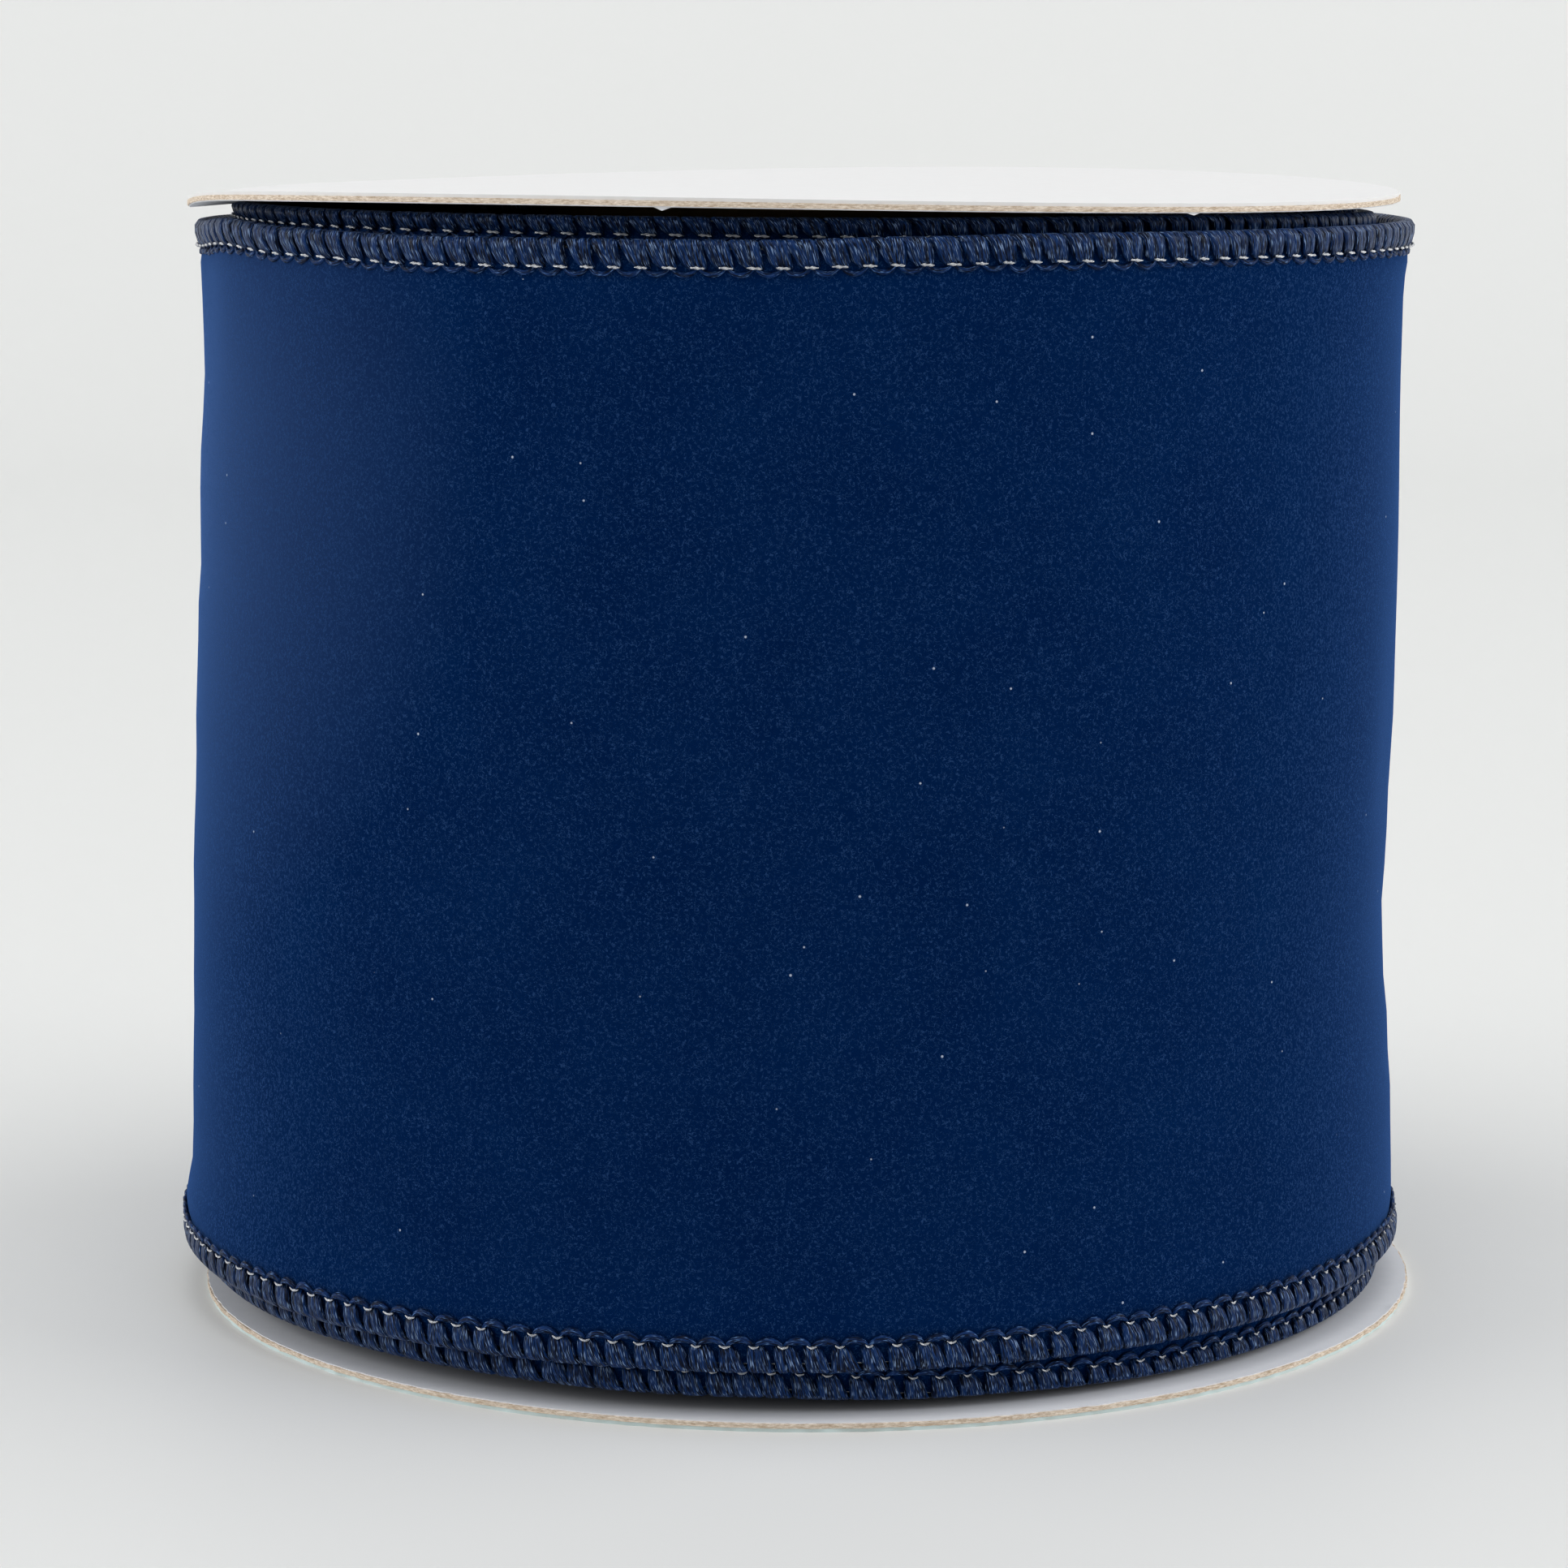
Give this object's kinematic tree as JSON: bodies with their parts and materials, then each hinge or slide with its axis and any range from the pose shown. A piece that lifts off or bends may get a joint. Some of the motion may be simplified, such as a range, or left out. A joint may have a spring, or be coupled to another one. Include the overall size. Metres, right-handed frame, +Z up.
{
  "type": "spool of wired velvet ribbon",
  "caption": "Cardboard spool wound with wide wired-edge velvet ribbon, standing on one flange, with a free tail end that lifts off the roll.",
  "frame": {"origin": "centre of the underside of the bottom flange, the face that the spool stands on", "axes": "+Z up along the spool's axis; -Y is the front; the ribbon's free end is at the back, on +Y"},
  "size_m": [0.1206, 0.1206, 0.1093],
  "materials": {
    "velvet": "matte",
    "edge_thread": "satin",
    "silver_thread": "satin",
    "edge_wire": "satin",
    "chipboard": "matte",
    "white_paper": "matte",
    "pale_liner": "matte",
    "core_board": "matte",
    "glue": "satin",
    "tape": "satin"
  },
  "bodies": {
    "spool": {"bottom_flange_inner_liner": "white_paper", "bottom_flange_board": "chipboard", "bottom_flange_outer_liner": "pale_liner", "top_flange_inner_liner": "white_paper", "top_flange_board": "chipboard", "top_flange_outer_liner": "white_paper", "core_outer_ply": "core_board", "core_middle_ply": "core_board", "core_inner_ply": "core_board", "lower_glue_bead": "glue", "upper_glue_bead": "glue", "start_tape": "tape", "velvet_roll": "velvet", "upper_edge_threads_roll": "edge_thread", "upper_edge_wire_roll": "edge_wire", "upper_silver_thread_roll": "silver_thread", "lower_edge_threads_roll": "edge_thread", "lower_edge_wire_roll": "edge_wire", "lower_silver_thread_roll": "silver_thread"},
    "tail": {"velvet_tail": "velvet", "upper_edge_threads_tail": "edge_thread", "upper_edge_wire_tail": "edge_wire", "upper_silver_thread_tail": "silver_thread", "lower_edge_threads_tail": "edge_thread", "lower_edge_wire_tail": "edge_wire", "lower_silver_thread_tail": "silver_thread"}
  },
  "joints": [
    {"name": "tail_lift", "type": "hinge", "parent": "spool", "child": "tail", "pos_m": [-0.01047, 0.05939, 0.05463], "axis": [0, 0, -1], "range_deg": [0, 70]}
  ]
}
